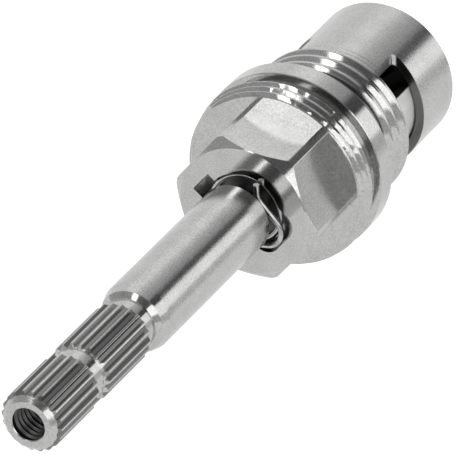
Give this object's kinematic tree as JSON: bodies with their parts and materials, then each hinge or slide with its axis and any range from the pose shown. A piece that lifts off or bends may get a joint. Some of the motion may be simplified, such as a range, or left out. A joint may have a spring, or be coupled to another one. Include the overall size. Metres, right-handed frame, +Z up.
{
  "type": "ceramic disc tap cartridge",
  "caption": "Ceramic disc tap cartridge: a long splined spindle in a nickel-plated hexagon body turns a ceramic disc a quarter turn and opens the flow windows.",
  "frame": {"origin": "on the spindle's axis, in the plane of the collar's seat face", "axes": "+Y along the axis from the spindle's tip towards the seal end, +Z up and square to one flat of the hexagon, X across"},
  "size_m": [0.0242, 0.0934, 0.0242],
  "materials": {
    "body_plating": "satin",
    "spindle_plating": "satin",
    "driver_plastic": "satin",
    "clip_steel": "gloss",
    "seal_rubber": "satin",
    "disc_ceramic": "polished",
    "washer_plastic": "matte"
  },
  "bodies": {
    "housing": {"valve_body": "body_plating", "retaining_clip": "clip_steel", "fixed_disc": "disc_ceramic", "base_seal": "seal_rubber", "seal_support_ring": "washer_plastic", "seat_o_ring": "seal_rubber"},
    "rotor": {"spindle": "spindle_plating", "upper_o_ring": "seal_rubber", "lower_o_ring": "seal_rubber", "slip_washer": "washer_plastic", "disc_driver": "driver_plastic", "turning_disc": "disc_ceramic"}
  },
  "joints": [
    {"name": "spindle_turn", "type": "hinge", "parent": "housing", "child": "rotor", "pos_m": [0, 0, 0], "axis": [0, -1, 0], "range_deg": [0, 90]}
  ]
}
